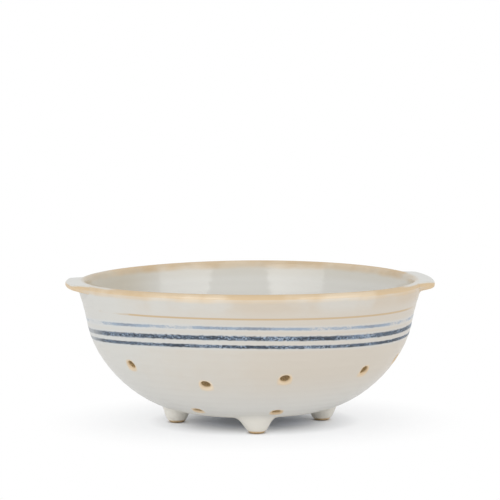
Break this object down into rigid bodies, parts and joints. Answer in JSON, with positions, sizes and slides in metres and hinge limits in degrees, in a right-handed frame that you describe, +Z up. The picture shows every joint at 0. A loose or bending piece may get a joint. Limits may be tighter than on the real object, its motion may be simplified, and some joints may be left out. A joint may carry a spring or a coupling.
{
  "type": "footed colander",
  "caption": "Round glazed stoneware colander on small cone feet, with lug handles on the rim and hand-punched drain holes in its wall and floor.",
  "frame": {"origin": "on the table, under the bowl's axis", "axes": "+Z up along the bowl's axis, +X towards the right handle, -Y towards the front"},
  "size_m": [0.232, 0.2172, 0.0919],
  "materials": {
    "bowl_glaze": "glossy cream-grey glaze over stoneware, tan where it breaks thin at the lip and holes, blue-grey banding lines",
    "handle_glaze": "the same cream-grey glaze, breaking to tan along the outer edge",
    "foot_glaze": "the same cream-grey glaze, with bare tan clay on the pad"
  },
  "bodies": {
    "root": {"bowl": "bowl_glaze", "handle_left": "handle_glaze", "handle_right": "handle_glaze", "foot_front": "foot_glaze", "foot_right": "foot_glaze", "foot_back": "foot_glaze", "foot_left": "foot_glaze"}
  },
  "joints": []
}
